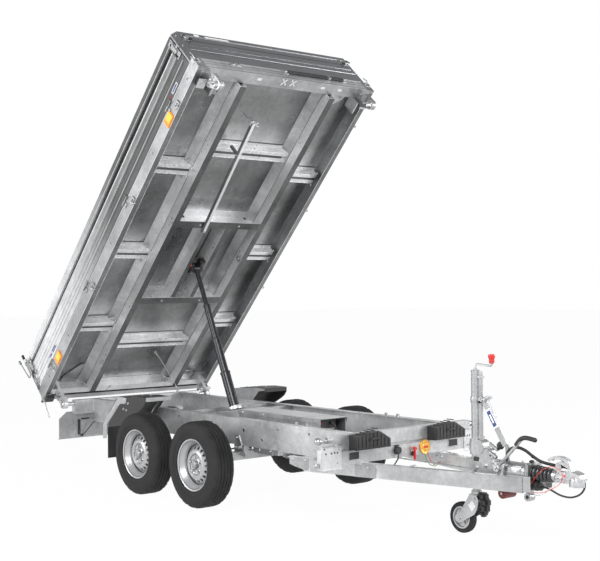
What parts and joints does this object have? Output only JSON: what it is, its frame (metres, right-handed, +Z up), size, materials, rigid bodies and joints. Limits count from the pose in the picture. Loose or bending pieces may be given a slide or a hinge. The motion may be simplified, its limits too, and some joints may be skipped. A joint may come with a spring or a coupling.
{
  "type": "tipping trailer",
  "caption": "Galvanised tandem-axle tipping trailer with ribbed drop walls, its bed raised to the rear on a telescopic ram, with a V drawbar and jockey wheel.",
  "frame": {"origin": "on the ground under the middle of the trailer's bounding box, bed raised", "axes": "+X forwards to the towing coupling, +Y to the trailer's left side, +Z up"},
  "size_m": [5.6616, 1.805, 3.5728],
  "materials": {
    "galvanised_steel": "dull spangled zinc",
    "aluminium": "anodised satin",
    "silver_paint": "satin silver",
    "dark_steel": "satin",
    "black_paint": "satin black",
    "rubber": "matt",
    "tyre": "matt",
    "black_plastic": "matt",
    "lamp_red": "gloss"
  },
  "bodies": {
    "chassis": {"chassis_beam_left": "galvanised_steel", "chassis_beam_right": "galvanised_steel", "outrigger_left": "galvanised_steel", "outrigger_right": "galvanised_steel", "rear_lamp_left": "lamp_red", "rear_lamp_right": "lamp_red", "front_crossmember": "galvanised_steel", "rear_crossmember": "galvanised_steel", "ram_crossmember": "galvanised_steel", "axle_front": "galvanised_steel", "axle_rear": "galvanised_steel", "drawbar": "galvanised_steel", "overrun_housing": "galvanised_steel", "overrun_bellows": "rubber", "coupling_head": "galvanised_steel", "parking_brake_lever": "galvanised_steel", "jockey_post": "galvanised_steel", "pump_box": "galvanised_steel", "pump_tray": "galvanised_steel", "battery": "black_plastic", "light_bar": "galvanised_steel", "wheel_chock_left": "black_plastic", "wheel_chock_right": "black_plastic", "cable_plug": "black_plastic", "electric_cable": "black_plastic", "breakaway_cable": "lamp_red"},
    "bed": {"bed_rim": "galvanised_steel", "bed_beam_left": "galvanised_steel", "bed_beam_right": "galvanised_steel", "bed_ram_frame": "galvanised_steel", "bed_hat_rear": "galvanised_steel", "bed_hat_front": "galvanised_steel", "bed_end_bar_rear": "galvanised_steel", "bed_end_bar_front": "galvanised_steel", "bed_floor": "galvanised_steel", "headboard": "aluminium", "ram_head_bracket": "black_paint", "safety_prop": "galvanised_steel"},
    "wall_left": {"side_wall_left": "aluminium"},
    "wall_right": {"side_wall_right": "aluminium"},
    "tailgate": {"tailgate": "aluminium"},
    "ram_base": {"ram_base": "black_paint"},
    "ram_stage_1": {"ram_stage_1": "dark_steel"},
    "ram_stage_2": {"ram_stage_2": "dark_steel"},
    "ram_stage_3": {"ram_stage_3": "dark_steel"},
    "ram_stage_4": {"ram_stage_4": "dark_steel"},
    "jockey_leg": {"jockey_leg": "galvanised_steel"},
    "jockey_fork": {"jockey_fork": "galvanised_steel"},
    "jockey_wheel": {"jockey_tyre": "tyre", "jockey_rim": "galvanised_steel"},
    "wheel_front_left": {"wheel_front_left": "silver_paint", "wheel_front_left_tyre": "tyre"},
    "wheel_front_right": {"wheel_front_right": "silver_paint", "wheel_front_right_tyre": "tyre"},
    "wheel_rear_left": {"wheel_rear_left": "silver_paint", "wheel_rear_left_tyre": "tyre"},
    "wheel_rear_right": {"wheel_rear_right": "silver_paint", "wheel_rear_right_tyre": "tyre"}
  },
  "joints": [
    {"name": "bed_tip", "type": "hinge", "parent": "chassis", "child": "bed", "pos_m": [-2.15021, 0, 0.613], "axis": [0, 1, 0], "range_deg": [0, 46.6]},
    {"name": "left_wall_hinge", "type": "hinge", "parent": "bed", "child": "wall_left", "pos_m": [-2.41513, 0.8945, 0.72727], "axis": [-0.6871, 0, -0.7266], "range_deg": [0, 178]},
    {"name": "right_wall_hinge", "type": "hinge", "parent": "bed", "child": "wall_right", "pos_m": [-2.41513, -0.8945, 0.72727], "axis": [0.6871, 0, 0.7266], "range_deg": [0, 178]},
    {"name": "tailgate_swing", "type": "hinge", "parent": "bed", "child": "tailgate", "pos_m": [-2.6474, 0, 0.96412], "axis": [0, 1, 0], "range_deg": [0, 90]},
    {"name": "wheel_front_left_spin", "type": "hinge", "parent": "chassis", "child": "wheel_front_left", "pos_m": [-0.0337, 0.777, 0.321], "axis": [0, 1, 0], "continuous": true},
    {"name": "wheel_front_right_spin", "type": "hinge", "parent": "chassis", "child": "wheel_front_right", "pos_m": [-0.0337, -0.777, 0.321], "axis": [0, 1, 0], "continuous": true},
    {"name": "wheel_rear_left_spin", "type": "hinge", "parent": "chassis", "child": "wheel_rear_left", "pos_m": [-0.81871, 0.777, 0.321], "axis": [0, 1, 0], "continuous": true},
    {"name": "wheel_rear_right_spin", "type": "hinge", "parent": "chassis", "child": "wheel_rear_right", "pos_m": [-0.81871, -0.777, 0.321], "axis": [0, 1, 0], "continuous": true},
    {"name": "ram_tilt", "type": "hinge", "parent": "chassis", "child": "ram_base", "pos_m": [-0.63121, 0, 0.6], "axis": [0, 1, 0], "range_deg": [0, 26.71]},
    {"name": "ram_stage_1_slide", "type": "slide", "parent": "ram_base", "child": "ram_stage_1", "axis": [-0.4219, 0, 0.9066], "range_m": [-0.2987, 0]},
    {"name": "ram_stage_2_slide", "type": "slide", "parent": "ram_stage_1", "child": "ram_stage_2", "axis": [-0.4219, 0, 0.9066], "range_m": [-0.2987, 0]},
    {"name": "ram_stage_3_slide", "type": "slide", "parent": "ram_stage_2", "child": "ram_stage_3", "axis": [-0.4219, 0, 0.9066], "range_m": [-0.2987, 0]},
    {"name": "ram_stage_4_slide", "type": "slide", "parent": "ram_stage_3", "child": "ram_stage_4", "axis": [-0.4219, 0, 0.9066], "range_m": [-0.2987, 0]},
    {"name": "jockey_leg_slide", "type": "slide", "parent": "chassis", "child": "jockey_leg", "axis": [0, 0, 1], "range_m": [-0.1, 0.06]},
    {"name": "jockey_swivel", "type": "hinge", "parent": "jockey_leg", "child": "jockey_fork", "pos_m": [1.9888, 0, 0], "axis": [0, 0, 1], "continuous": true},
    {"name": "jockey_wheel_spin", "type": "hinge", "parent": "jockey_fork", "child": "jockey_wheel", "pos_m": [1.87079, 0, 0.10298], "axis": [0, 1, 0], "continuous": true}
  ],
  "couplings": [
    {"joint": "ram_tilt", "follows": "bed_tip", "ratio": 0.57275},
    {"joint": "ram_stage_1_slide", "follows": "bed_tip", "m_per_rad": -0.3667},
    {"joint": "ram_stage_2_slide", "follows": "bed_tip", "m_per_rad": -0.3667},
    {"joint": "ram_stage_3_slide", "follows": "bed_tip", "m_per_rad": -0.3667},
    {"joint": "ram_stage_4_slide", "follows": "bed_tip", "m_per_rad": -0.3667}
  ]
}
